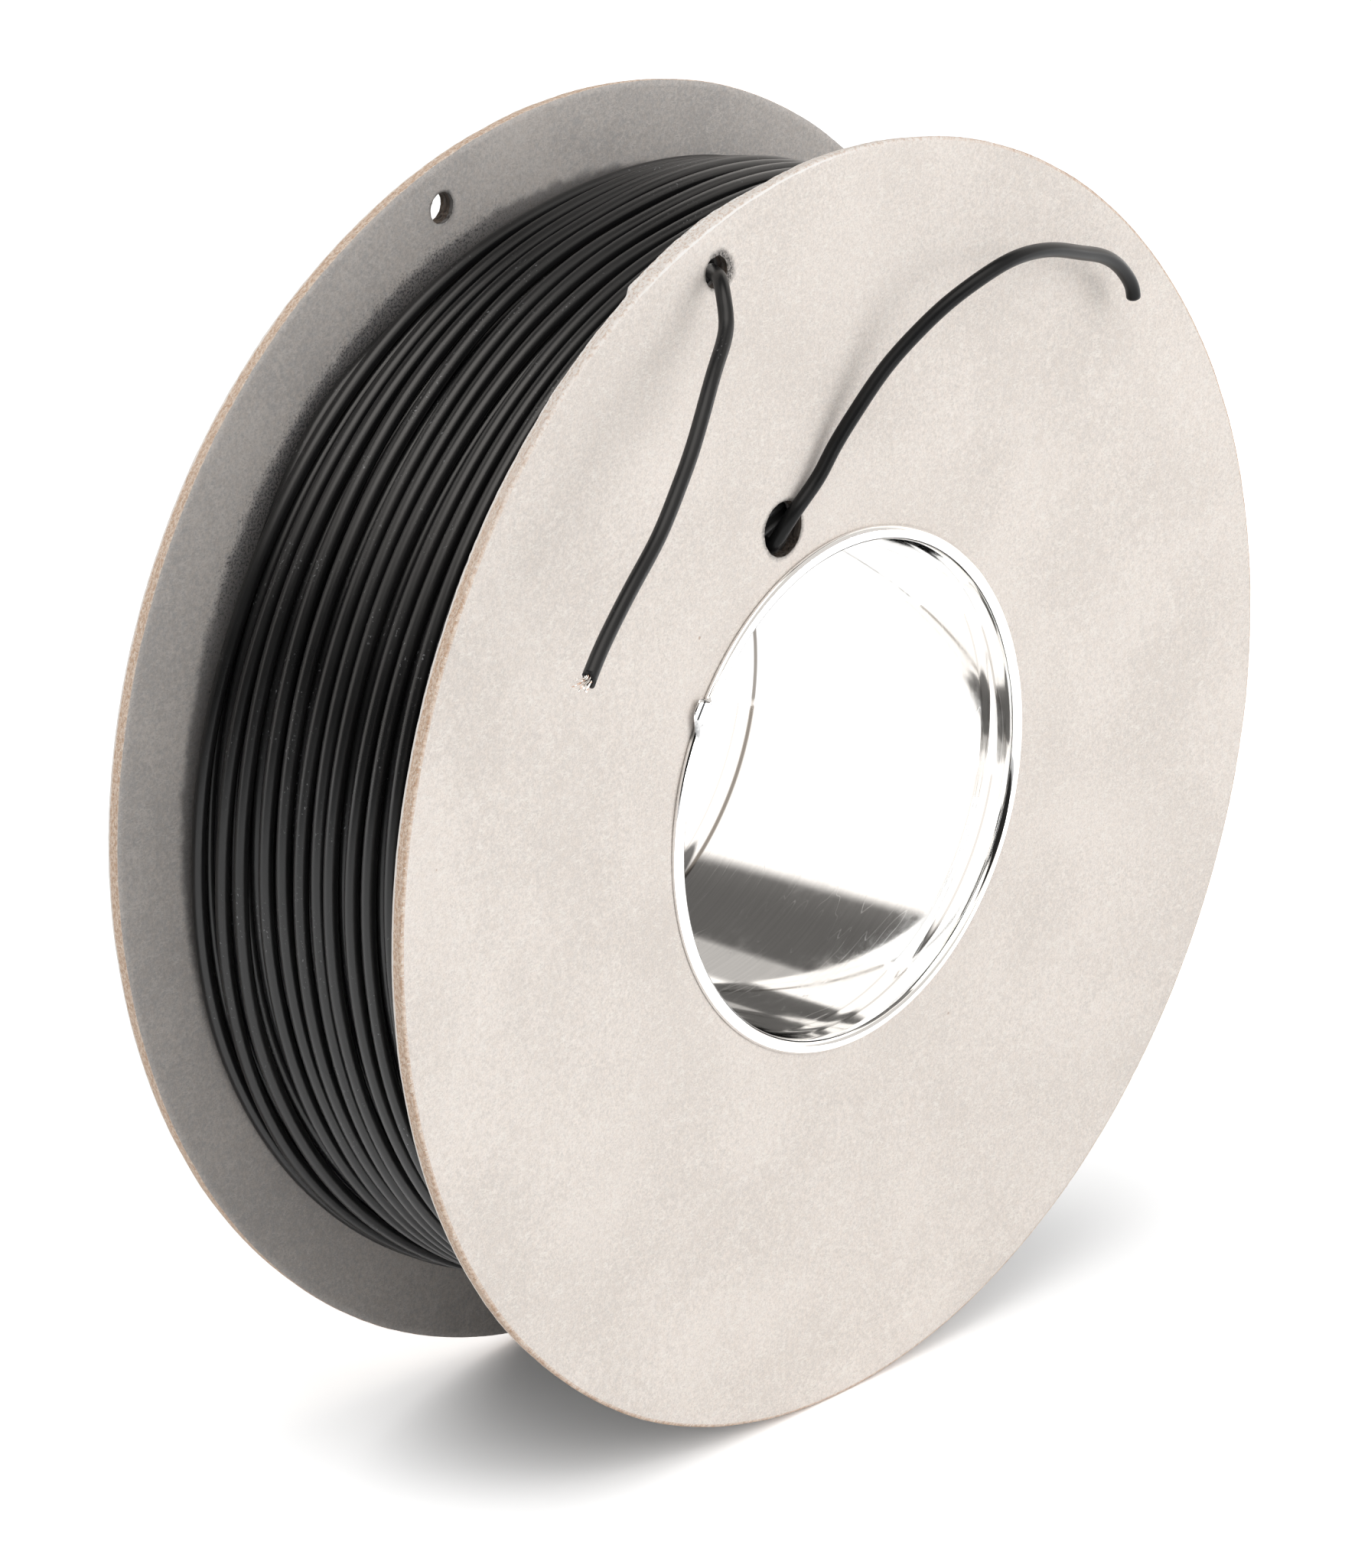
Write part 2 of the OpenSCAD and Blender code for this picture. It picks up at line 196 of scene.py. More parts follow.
def disc_mesh(side, bend, fray, torn, front, ripped, seed):
    """Closed mesh of one disc: two faces, rim, bore wall and the walls of both lead holes.

    front is how far the rim's -Y corner is worn back. Where the rim is ripped, its other
    corner has not been rounded off and stands out.
    """
    rng = np.random.default_rng(seed)
    turns = lead_hole_angle + np.arange(disc_columns) * 2 * np.pi / disc_columns
    outer_y, inner_y = side * (disc_inner_face + board_thickness), side * disc_inner_face

    def lifted(x, z, y):
        return np.stack([x, y + disc_bend(bend, x, z), z], axis=-1)

    def flat_uv(grid):
        uv = grid[..., ::2]
        return np.concatenate([uv, uv[:, :1]], axis=1)

    def noise_round(knots):
        return ring_noise(rng, knots, disc_columns)

    upper = wrapped(turns)
    ragged = 0.35 + fray * ease(-0.35, 0.0, upper) * ease(1.35, 0.9, upper)
    dents = fine_dent * noise_round(90) + broad_dent * noise_round(24)
    rip = ripped * ease(0.506, 0.490, upper) * ease(0.18, 0.33, upper)
    sheets = []
    grid_x, grid_z = on_disc(disc_levels[:, None], turns[None])
    dropped = np.zeros((len(disc_levels) - 1, disc_columns), bool)
    for first, last, half in (inner_window, outer_window):
        dropped[first:last, :half] = True
        dropped[first:last, -half:] = True
    edge = {}
    for face, y in (("outer", outer_y), ("inner", inner_y)):
        burr = ragged * burr_size * noise_round(640)
        x, z = grid_x.copy(), grid_z.copy()
        if y == max(outer_y, inner_y):
            rounded = (1 - rip) * (die_round + die_slant) - rip * rip_reach - rim_level_gap
        else:
            rounded = front - rim_level_gap
        scale = 1 + (dents + burr - rounded) / disc_radius
        x[-1], z[-1] = x[-1] * scale, z[-1] * scale
        grid = lifted(x, z, y)
        lift = side * (1 if face == "outer" else -1) * liner_lift * ragged
        grid[-1, :, 1] += lift * noise_round(620)
        edge[face] = grid[-1]
        sheets.append((grid, flat_uv(grid), 0 if face == "outer" else 1, dropped))
    across = np.array([0, 0.04, 0.08, 0.15, 0.25, 0.4, 0.55, 0.7, 0.8, 0.88, 0.95, 1.0])
    share = across[:, None, None]
    rim = edge["outer"][None] * (1 - share) + edge["inner"][None] * share
    away = across if side < 0 else 1 - across
    into = np.clip((away - 1) * board_thickness / die_round + 1, 0, 1)
    cut = die_round * (1 - np.sqrt(1 - into**2)) + die_slant * away
    worn = front * np.clip(1 - away / 0.15, 0, 1) ** 2
    plain = np.hypot(rim[..., 0], rim[..., 2])
    for j in range(1, len(across) - 1):
        fibres = ragged * (fine_fibre * noise_round(710) + broad_fibre * noise_round(260))
        fibres = fibres + rip * ripped_fibre * noise_round(500)
        drop = (1 - rip) * cut[j] - rip * rip_reach * away[j] + worn[j]
        reach = (disc_radius + dents - drop + fibres) / plain[j]
        rim[j, :, 0] *= reach
        rim[j, :, 2] *= reach
    round_rim = disc_radius * np.append(turns, turns[0] + 2 * np.pi)
    sheets.append((rim, grid_uv(round_rim, across), 2, None))
    bore_radii = (disc_levels[0], disc_bore_radius, disc_bore_radius, disc_levels[0])
    bore_across = np.array([0.0, 0.17, 0.83, 1.0])
    wall = np.stack([
        lifted(*on_disc(np.full(disc_columns, r), turns), outer_y * (1 - t) + inner_y * t)
        for r, t in zip(bore_radii, bore_across)
    ])
    sheets.append((wall, grid_uv(round_rim, bore_across), 2, None))
    for window, at, radius, rough in (
        (inner_window, inner_hole_at, inner_hole_radius, 0.010),
        (outer_window, outer_hole_at, outer_hole_radius, torn),
    ):
        count = 4 * window[2] + 2 * (window[1] - window[0])
        rows = []
        for y, face in ((outer_y, 0), (inner_y, 1)):
            wobble = rough * ring_noise(rng, count // 3, count)
            border, hole = hole_window(disc_levels, turns, window, at, radius, wobble)
            t = np.linspace(0, 1, 6)[:, None, None] ** 0.8
            flat = border[None] * (1 - t) + hole[None] * t
            grid = lifted(flat[..., 0], flat[..., 1], y)
            sheets.append((grid, flat_uv(grid), face, None))
            rows.append(grid[-1])
        t = np.array([0, 0.08, 0.3, 0.5, 0.7, 0.92, 1.0])
        wall = rows[0][None] * (1 - t[:, None, None]) + rows[1][None] * t[:, None, None]
        middle = np.array(on_disc(at, lead_hole_angle))
        for j in range(1, len(t) - 1):
            pull = 1 + rough * 0.8 * ring_noise(rng, count // 2, count)
            wall[j, :, 0] = middle[0] + (wall[j, :, 0] - middle[0]) * pull
            wall[j, :, 2] = middle[1] + (wall[j, :, 2] - middle[1]) * pull
        around = np.arange(count + 1) * 2 * np.pi * radius / count
        sheets.append((wall, grid_uv(around, t), 3, None))
    return joined_mesh(sheets)


class Shading:
    """Adds nodes to one shader tree; each method but node gives back an output socket.

    A value is a number, a (red, green, blue) or (x, y, z) tuple, or another node's socket.
    """

    def __init__(self, tree):
        self.tree = tree

    def feed(self, socket, value):
        """Writes a number or a tuple on a socket, or links another socket to it."""
        if isinstance(value, (int, float)):
            socket.default_value = value
        elif isinstance(value, tuple):
            socket.default_value = (*value, 1) if len(socket.default_value) == 4 else value
        else:
            self.tree.links.new(value, socket)

    def node(self, kind, *values, **named):
        """One node: values for its first sockets, and for settings and sockets by name."""
        made = self.tree.nodes.new("ShaderNode" + kind)
        settings = [name for name in named if hasattr(made, name)]
        for name in settings:
            setattr(made, name, named.pop(name))
        for name, value in [*enumerate(values), *named.items()]:
            if isinstance(name, str):
                name = name.replace("_", " ")
            self.feed(made.inputs[name], value)
        return made

    def math(self, operation, *values, clamp=False):
        return self.node("Math", *values, operation=operation, use_clamp=clamp).outputs[0]

    def plus(self, a, b, clamp=False):
        return self.math("ADD", a, b, clamp=clamp)

    def minus(self, a, b):
        return self.math("SUBTRACT", a, b)

    def times(self, first, *others):
        """Product of all the values."""
        for value in others:
            first = self.math("MULTIPLY", first, value)
        return first

    def most(self, first, *others):
        """Greatest of all the values."""
        for value in others:
            first = self.math("MAXIMUM", first, value)
        return first

    def apart(self, a, b):
        """|a - b|"""
        return self.math("ABSOLUTE", self.minus(a, b))

    def vector(self, operation, *values):
        return self.node("VectorMath", *values, operation=operation).outputs[0]

    def dot(self, a, b):
        return self.node("VectorMath", a, b, operation="DOT_PRODUCT").outputs["Value"]

    def length(self, a):
        return self.node("VectorMath", a, operation="LENGTH").outputs["Value"]

    def between(self, value, low, high, to_low=0.0, to_high=1.0):
        """Value mapped smoothly from low..high to to_low..to_high, and held outside."""
        return self.node("MapRange", value, low, high, to_low, to_high,
                         interpolation_type="SMOOTHSTEP").outputs["Result"]

    def grey(self, value):
        return self.node("CombineColor", value, value, value).outputs[0]

    def mixed(self, share, a, b, blend="MIX"):
        """Colour a turned into colour b by share."""
        made = self.node("Mix", data_type="RGBA", blend_type=blend)
        for socket, value in zip((0, 6, 7), (share, a, b)):
            self.feed(made.inputs[socket], value)
        return made.outputs[2]

    def noise(self, vector, scale, detail, rough=0.5):
        return self.node("TexNoise", Vector=vector, Scale=scale, Detail=detail,
                         Roughness=rough).outputs["Fac"]

    def stretched(self, uv, scale, detail, shift=0.0, rough=0.5):
        """Noise with its own scale along each axis of the UV."""
        mapped = self.node("Mapping", uv, Location=(shift, shift, 0), Scale=(*scale, 1))
        return self.noise(mapped.outputs[0], 1.0, detail, rough)

    def surface(self, height, strength, distance, **sockets):
        """Principled shader with a bump, linked to the material's output."""
        if height is not None:
            sockets["Normal"] = self.node("Bump", Strength=strength, Distance=distance,
                                          Height=height).outputs[0]
        self.node("OutputMaterial", self.node("BsdfPrincipled", **sockets).outputs[0])


def paper_fibre_group():
    """Recycled paper: soft mottle, fine felt, short pale fibres, dark and brown specks."""
    group = bpy.data.node_groups.new("paper_fibre", "ShaderNodeTree")
    group.interface.new_socket("Vector", in_out="INPUT", socket_type="NodeSocketVector")
    g = Shading(group)
    at = group.nodes.new("NodeGroupInput").outputs["Vector"]
    mottle, felt = g.noise(at, 2100, 3, 0.65), g.noise(at, 5200, 3, 0.7)
    patchy = g.plus(g.times(g.noise(at, 60, 3), 0.4), g.times(mottle, 0.6))
    shown = {"Mottle": patchy, "Felt": felt}
    tint = g.noise(g.vector("ADD", at, (0.3, 0.1, 0.7)), 1400, 2, 0.6)
    shown["Tint"] = g.between(tint, 0.3, 0.7)
    fibres = []
    for angle, shift in ((0.35, 0.0), (1.45, 0.2), (2.5, 0.5)):
        turned = g.node("Mapping", at, (shift, shift, shift), (0, angle, 0), (800, 1500, 2600))
        line = g.between(g.apart(g.noise(turned.outputs[0], 1, 1), 0.5), 0.010, 0.040, 1.0, 0.0)
        patch = g.noise(g.vector("ADD", at, (shift, 0.4, 0.9)), 600, 1)
        fibres.append(g.times(line, g.between(patch, 0.52, 0.66)))
    shown["Pale Fibre"] = g.most(*fibres)
    for label, cells, size, share in (("Dark Speck", 190, 0.040, 0.45),
                                      ("Brown Speck", 120, 0.034, 0.35)):
        spots = g.node("TexVoronoi", Vector=at, Scale=cells)
        picked = g.node("SeparateColor", spots.outputs["Color"])
        rim = g.minus(spots.outputs["Distance"], g.times(picked.outputs[1], size))
        dot = g.between(rim, -0.004, 0.006, 1.0, 0.0)
        shown[label] = g.times(dot, g.math("LESS_THAN", picked.outputs[0], share))
    weave = g.plus(g.times(felt, 0.6), g.times(mottle, 0.4))
    shown["Height"] = g.plus(weave, g.times(shown["Pale Fibre"], 0.25))
    for label in shown:
        group.interface.new_socket(label, in_out="OUTPUT", socket_type="NodeSocketFloat")
    end = group.nodes.new("NodeGroupOutput")
    for label, value in shown.items():
        group.links.new(value, end.inputs[label])
    return group


paper_fibre = paper_fibre_group()
core_brown, core_pale, core_dark = (0.57, 0.385, 0.27), (0.80, 0.655, 0.535), (0.27, 0.20, 0.16)
torn_liner = (0.89, 0.845, 0.80)


def new_material(name):
    """Empty material and its tree's Shading."""
    material = bpy.data.materials.new(name)
    material.use_nodes = True
    material.node_tree.nodes.clear()
    return material, Shading(material.node_tree)


def liner_material(name, pale, grey, warm, rubbed):
    """A paper face: grey to pale mottle with a warm tint, under fibres and specks.

    Black from the wire stains the lead holes' edges. rubbed is how dark the face beside the
    winding is painted: a band at the winding's edge that is painted contact shade, and at the
    upper left a wider one of rubbed-off black and painted shade that breaks up into specks.
    """
    material, g = new_material(name)
    place_of = g.node("TexCoord").outputs["Object"]
    fibre = g.node("Group", node_tree=paper_fibre, Vector=place_of).outputs
    paper = g.mixed(g.between(fibre["Mottle"], 0.38, 0.62), grey, pale)
    paper = g.mixed(g.times(fibre["Tint"], 0.35), paper, warm)
    felt = g.between(fibre["Felt"], 0.3, 0.7, 0.87, 1.06)
    paper = g.mixed(1.0, paper, g.grey(felt), "MULTIPLY")
    brightest = tuple(min(1.07 * c, 0.92) for c in pale)
    for effect, share, colour in (("Pale Fibre", 0.60, brightest),
                                  ("Dark Speck", 0.75, (0.20, 0.19, 0.19)),
                                  ("Brown Speck", 0.55, (0.42, 0.26, 0.17))):
        paper = g.mixed(g.times(fibre[effect], share), paper, colour)
    flat = g.vector("MULTIPLY", place_of, (1, 0, 1))
    dust = g.noise(flat, 3600, 3, 0.7)
    patchy = g.minus(g.noise(flat, 420, 2), 0.5)
    stains = []
    for at, radius, to_right, spread, strength in (
        (inner_hole_at, inner_hole_radius, 0.0, 0.0006, 0.75),
        (outer_hole_at, outer_hole_radius, 0.0004, 0.0007, 0.95),
    ):
        if rubbed:
            to_right, spread, strength = 0.0, spread * 0.6, strength * 0.6
        hole_x, hole_z = on_disc(at, lead_hole_angle)
        from_hole = g.length(g.vector("SUBTRACT", flat, (hole_x + to_right, 0.0, hole_z)))
        gap = g.plus(g.minus(from_hole, radius + to_right / 2), g.times(patchy, 1.6 * spread))
        stains.append(g.times(g.between(gap, -0.2 * spread, spread, 1.0, 0.0), strength))
    stain = g.times(g.most(*stains), g.between(dust, 0.35, 0.60, 0.45, 1.0))
    paper = g.mixed(stain, paper, (0.05, 0.048, 0.047))
    # Painted shade: the narrow band at the winding's edge stands for its contact shade, and the
    # wider speckled one at the upper left mixes rubbed-off black with painted shade.
    if rubbed:
        axes = g.node("SeparateXYZ", place_of).outputs
        reach = g.plus(g.length(flat), g.times(patchy, 0.0016))
        upper = g.between(g.minus(g.times(axes["Z"], 1.2), axes["X"]), 0.070, 0.092)
        band = g.between(reach, 0.0602, 0.0614, 1.0, 0.0)
        wide = g.times(g.between(reach, 0.0606, 0.0640, 1.0, 0.0), upper)
        grain = g.between(g.plus(dust, g.times(wide, 0.14)), 0.60, 0.78)
        soot_and_shade = g.plus(g.times(grain, wide, 0.70), g.times(band, 0.66), clamp=True)
        paper = g.mixed(g.times(soot_and_shade, rubbed), paper, (0.026, 0.029, 0.036))
    g.surface(fibre["Height"], 0.55, 0.00006, Base_Color=paper, Roughness=0.86,
              Specular_IOR_Level=0.25)
    return material


def cut_board_material(name, stain, torn, turned):
    """Die-cut edge of the board, on the edge's own UV: along it in metres and across it.

    Brown strata run along the edge between the two pale liners, which show as thin lines,
    with torn pale fibres and grey specks of printed waste in the core. stain is how black
    the wire has rubbed the edge, torn how far the liner is dragged over it at the upper
    left, and turned tells that the die has turned it over at its start, not its end.
    """
    material, g = new_material(name)
    uv = g.node("UVMap").outputs[0]
    across = g.node("SeparateXYZ", uv).outputs["Y"]

    def strata(along, through, detail, shift=0.0):
        return g.stretched(uv, (along, through), detail, shift, 0.65)

    core = g.mixed(g.between(strata(1900, 5, 4), 0.38, 0.62), core_brown, core_pale)
    core = g.mixed(g.between(strata(5200, 10, 2, 3.0), 0.60, 0.70, 0.0, 0.8), core, core_dark)
    core = g.mixed(g.between(strata(4200, 9, 2, 7.0), 0.58, 0.68, 0.0, 0.85), core, torn_liner)
    depth = g.plus(across, g.times(g.minus(strata(1300, 1, 4, 5.0), 0.5), 0.14))
    corner = across
    if turned:
        depth, corner = g.minus(1.0, depth), g.minus(1.0, corner)
    upper_left = g.dot(g.node("TexCoord").outputs["Object"], (-0.26, 0.0, 0.966))
    ragged = g.times(g.minus(strata(700, 5, 3, 11.0), 0.5), 0.030)
    dragged = g.between(g.plus(upper_left, ragged), 0.048, 0.068, 0.0, 0.86 * torn)
    liner_line = g.between(depth, 0.70, 0.78, 0.0, 0.85)
    board = g.mixed(liner_line, g.mixed(dragged, core, torn_liner), (0.93, 0.895, 0.855))
    flecks = g.between(strata(2400, 6, 3, 13.0), 0.48, 0.60)
    flecks = g.times(flecks, g.between(dragged, 0.1, 0.6, 0.0, 0.50))
    board = g.mixed(flecks, board, core_brown)
    front_line = g.times(g.between(corner, 0.03, 0.06, 1.0, 0.0),
                         g.between(upper_left, 0.0668, 0.0690, 0.22, 0.22 + 0.70 * torn))
    board = g.mixed(front_line, board, (0.93, 0.905, 0.875))
    rubbed = g.between(strata(900, 3, 3, 9.0), 0.30, 0.62, 0.97 * stain, 0.84 * stain)
    board = g.mixed(rubbed, board, (0.022, 0.021, 0.021))
    coarse = g.plus(g.times(strata(2600, 10, 3, 1.0), 0.7), strata(420, 9, 2, 2.0))
    g.surface(coarse, 0.9, 0.00012, Base_Color=board, Roughness=0.92, Specular_IOR_Level=0.15)
    return material


liner_clean = liner_material("board_liner", (0.885, 0.820, 0.766), (0.748, 0.690, 0.642),
                             (0.835, 0.742, 0.664), 0.0)
# The inner faces take a darker copy of the liner: painted shade from between the discs, plus the
# wire's rub and painted contact shade beside the winding.
liner_shaded_and_rubbed = liner_material("board_liner_shaded_and_rubbed", (0.635, 0.597, 0.565), (0.475, 0.458, 0.447),
                              (0.58, 0.51, 0.455), 0.85)
near_edge = cut_board_material("board_near_edge", 0.0, 1.0, False)
far_edge = cut_board_material("board_far_edge", 0.0, 0.0, True)
hole_wall = cut_board_material("board_hole_wall", 1.0, 0.0, False)
place("near_disc", disc_mesh(-1, near_bend, 0.7, 0.06, 0.00042, 1.0, 11),
      (liner_clean, liner_shaded_and_rubbed, near_edge, hole_wall), ["near_flange"])
place("far_disc", disc_mesh(1, far_bend, 0.5, 0.03, 0.00012, 0.0, 23),
      (liner_clean, liner_shaded_and_rubbed, far_edge, hole_wall), ["far_flange"])


# ---- Core tube ----
# A blank of bright tinplate is rolled, hooked and pressed into a lock-seamed tube. A bead
# pressed out behind each disc and the tube's end, rolled over in front of it, clamp the
# disc between them. The blank's edges lap on each roll, and the rolling leaves small kinks.

tube_bore_radius = 0.0271
sheet_thickness = 0.0003
roll_radius = 0.00077
bead_radius, bead_rise, bead_blend = 0.00105, 0.0002, 0.00045
groove_depth, groove_half = 0.00004, 0.0012
flare_rise, flare_run = 0.00008, 0.00075
seat_gap = 0.00005
seam_turn = math.radians(55.8)
# Marks of the rolling: the rolls' waves along and across, the lap's step, the degrees in
# which it fades, and how far the near roll is spread beside the lap and at its corner
wave_along, wave_across, lap_step, lap_fade = 0.000012, 0.00002, 0.00014, 9
lap_spread, lap_corner = 0.0004, 0.0014
# Kinks in the rolls: angle in degrees, relative depth and width in degrees
kink_depth = 0.00005
kinks = ((4.8, 1.0, 0.5), (-74.8, 1.3, 0.5), (-165.9, 1.0, 0.5), (-158.5, 0.8, 0.4),
         (128.5, 0.8, 0.5))
tube_columns = 480


def arc(centre, radius, first, last, steps):
    """Points (radius from the axis, place along it) on an arc, angles in degrees."""
    a = np.radians(np.linspace(first, last, steps + 1))
    return np.stack([centre[0] + radius * np.cos(a), centre[1] + radius * np.sin(a)], axis=-1)


def sheet_line(offset):
    """Half of the tube's profile, from the middle of its length to its rolled end.

    The line lies at an offset from the middle of the sheet: a straight wall, a bend, the
    bead, a bend, and the roll over the disc's edge. Inside the tube the bead is a shallow
    groove of depth * cos^2, and the wall flares a little before it rolls over.
    """
    wall = tube_bore_radius + sheet_thickness / 2
    bead_mid = bead_radius - sheet_thickness / 2
    bead_at = disc_inner_face - bead_radius - seat_gap
    roll_mid = roll_radius - sheet_thickness / 2
    roll_at = disc_inner_face + board_thickness + seat_gap
    lean = math.degrees(math.atan(2 * flare_rise / flare_run)) if offset < 0 else 0
    start = flare_rise - (roll_mid - offset) * (1 - math.cos(math.radians(lean)))
    roll = arc((wall + roll_mid + start, roll_at), roll_mid - offset, 180 - lean, 0, 20)
    if offset < 0:
        s = np.linspace(-1, 1, 25)
        depth = groove_depth * np.cos(np.pi * s / 2) ** 2
        groove = np.stack([wall + offset + depth, bead_at + groove_half * s], -1)
        t = np.linspace(0, 1, 7)[:-1]
        flare = np.stack([wall + offset + flare_rise * t**2, roll[0, 1] + flare_run * (t - 1)], -1)
        return np.concatenate([groove, flare, roll])
    run = math.sqrt((bead_mid + bead_blend) ** 2 - (bead_blend - bead_rise) ** 2)
    turn = math.degrees(math.atan2(run, bead_rise - bead_blend))
    return np.concatenate([
        arc((wall + bead_blend, bead_at - run), bead_blend - offset, 180, turn, 6),
        arc((wall + bead_rise, bead_at), bead_mid + offset, turn - 180, 180 - turn, 18)[1:],
        arc((wall + bead_blend, bead_at + run), bead_blend - offset, 360 - turn, 180, 6)[1:],
        roll,
    ])


def both_halves(line):
    """A half profile and its mirror image, as one line from end to end."""
    mirrored = line[::-1] * (1, -1)
    between_beads = np.linspace(-line[0, 1], line[0, 1], 7)[1:-1]
    middle = np.stack([np.full(5, line[0, 0]), between_beads], axis=-1)
    return np.concatenate([mirrored, middle, line])


def revolved_mesh(line, x, y, z, turns, uv_radius):
    """Closed mesh of a closed profile carried round the axis, one row for each of its points."""
    grid = np.stack([x, y, z], axis=-1)
    around = uv_radius * np.append(turns, 2 * np.pi)
    uv = grid_uv(around, run_length(np.concatenate([line, line[:1]])))
    return joined_mesh([(np.concatenate([grid, grid[:1]]), uv, 0, None)])


def tube_mesh():
    """The profile's closed line carried round the axis, and the rolls marked by the tool.

    The rolls wave by a few hundredths of a millimetre, and past the seam the outer edge
    laps over the other: exp(-past / fade). On the near roll the lap's corner stands up, and
    the roll is spread on both sides of it. A kink is a short ridge, exp(-|away| / width).
    """
    rng = np.random.default_rng(5)
    outer = both_halves(sheet_line(sheet_thickness / 2))
    inner = both_halves(sheet_line(-sheet_thickness / 2))
    line = np.concatenate([outer, inner[::-1]])
    turns = np.arange(tube_columns) * 2 * np.pi / tube_columns
    radius = np.repeat(line[:, :1], tube_columns, axis=1)
    along = np.repeat(line[:, 1:], tube_columns, axis=1)
    rolled = ease(0.0199, 0.0207, np.abs(line[:, 1]))[:, None]
    along += np.sign(along) * rolled * wave_along * ring_noise(rng, 26, tube_columns)[None]
    radius += rolled * wave_across * ring_noise(rng, 22, tube_columns)[None]
    past = wrapped(turns - seam_turn)
    past_deg = np.degrees(past)
    lapped = (past > 0) * np.exp(-np.clip(past_deg, 0, None) / lap_fade)
    along += np.sign(along) * rolled * lap_step * lapped[None]
    corner = (past > 0) * ease(7.5, 3, past_deg)
    spread = ease(-82, -52, past_deg) * ease(38, 18, past_deg)
    lifted = ease(0.02785, 0.0285, radius) * rolled * (along < 0)
    radius += lifted * (lap_spread * spread + lap_corner * corner)[None]
    for kink_at, depth, width in kinks:
        away = np.abs(wrapped(turns - math.radians(kink_at)))
        ridge = np.exp(-away / math.radians(width))
        along -= np.sign(along) * rolled * kink_depth * depth * ridge[None]
    x, z = on_disc(radius, turns[None])
    return revolved_mesh(line, x, along, z, turns, tube_bore_radius)


def tinplate_material(name):
    """Bright tin: rolling marks round the tube, fine scratches, dull specks.

    Painted shade marks the lap on the near roll: the gap between its two edges and the line
    where the outer one ends are painted dark, with a mottled dark patch past them. Grey lines
    along both sides of each bead inside the tube are painted reflection of the beads' grooves.
    """
    material, g = new_material(name)
    place_of = g.node("TexCoord").outputs["Object"]
    uv = g.node("UVMap").outputs[0]
    rolling = g.stretched(uv, (60, 1800), 3, 0.0, 0.6)
    fine = g.stretched(uv, (900, 90), 2, 4.0, 0.6)
    scratch = g.apart(g.stretched(uv, (70, 420), 1, 2.0, 0.6), 0.5)
    scratch = g.between(scratch, 0.0, 0.004, 1.0, 0.0)
    dull = g.noise(place_of, 220, 4, 0.7)
    tone = g.mixed(g.between(rolling, 0.35, 0.65), (0.90, 0.90, 0.895), (0.955, 0.955, 0.95))
    x, y, z = g.node("SeparateXYZ", place_of).outputs
    reach = g.length(g.vector("MULTIPLY", place_of, (1, 0, 1)))
    turn = g.math("ARCTAN2", g.times(x, -1.0), z)
    after = g.math("DIVIDE", g.minus(turn, seam_turn), math.radians(1))
    # The gap in the lap and the outer edge's step are painted shade; a mottled dark patch lies
    # past them.
    gap = g.times(g.between(g.apart(reach, 0.0294), 0.00008, 0.0002, 1.0, 0.0),
                  g.between(after, 0.0, 0.3), g.between(after, 4.2, 4.8, 1.0, 0.0))
    edge_step_shade = g.times(g.between(g.apart(after, 0.2), 0.1, 0.35, 0.6, 0.0),
                       g.between(reach, 0.0280, 0.0284))
    dark_mottle = g.times(g.between(after, 4.0, 5.0), g.between(after, 7.5, 9.5, 1.0, 0.0),
                    g.between(dull, 0.40, 0.6, 0.0, 0.75), g.between(reach, 0.0279, 0.0284))
    on_roll = g.math("LESS_THAN", y, -disc_inner_face - board_thickness)
    lap_shade_and_mottle = g.times(g.most(gap, edge_step_shade, dark_mottle), on_roll)
    tone = g.mixed(lap_shade_and_mottle, tone, (0.05, 0.05, 0.05))
    # Painted reflection: grey lines along both sides of each bead inside the tube.
    inside = g.math("LESS_THAN", reach, tube_bore_radius + 0.0002)
    for reflection_line_at, half, share in ((0.0163, 0.00046, 1.00), (0.0183, 0.00016, 0.30),
                                 (-0.0160, 0.00020, 0.25), (-0.0180, 0.00024, 0.40)):
        line = g.between(g.apart(y, reflection_line_at), 0.3 * half, half, share, 0.0)
        tone = g.mixed(g.times(line, inside), tone, (0.24, 0.22, 0.20))
    rough = g.plus(g.between(dull, 0.45, 0.75, 0.055, 0.13), g.times(scratch, 0.12))
    height = g.plus(g.times(rolling, 0.5), g.times(fine, 0.3))
    g.surface(g.plus(height, g.times(scratch, -0.5)), 0.05, 0.00002, Base_Color=tone,
              Roughness=rough, Metallic=1.0)
    return material


tinplate = tinplate_material("bright_tinplate")
place("seamed_tube", tube_mesh(), (tinplate,), ["core_tube"])


# ---- Winding ----
# About a hundred metres of stranded wire in black PVC, 1.6 mm over the insulation, wound in
# layers from the tube outwards. The plain layers stand as one scalloped core. The layer
# under the last one shows between its turns, so it is wound turn by turn, as the last is.

wire_radius = 0.0008
winding_inner_radius = 0.0286
packed_radius = 0.0577
under_radius = 0.0585
under_turns = 20.5
climb_turn = math.radians(-75)
# The climb to the last layer takes this angle, and has settled beside the far disc here
climb_reach, settled_turn, settled_y = 0.9, -0.35, 0.0146
# Least gaps between wire and disc, core and disc, and turn and turn, and the lay's jitter
disc_gap, core_gap, turn_gap, lay_jitter = 0.00005, 0.0001, 0.00003, 0.00006
# Heights of the big pile, of the small one and of the proud turn
pile_height, small_height, proud_height = 0.0036, 0.0010, 0.0023
# The last turn leaves the winding here, after easing to this radius and Y over this angle
leave_radius, leave_y, leave_reach = 0.0599, -0.0171, 0.35
leave_turn = lead_hole_angle - math.acos(leave_radius / outer_hole_at)
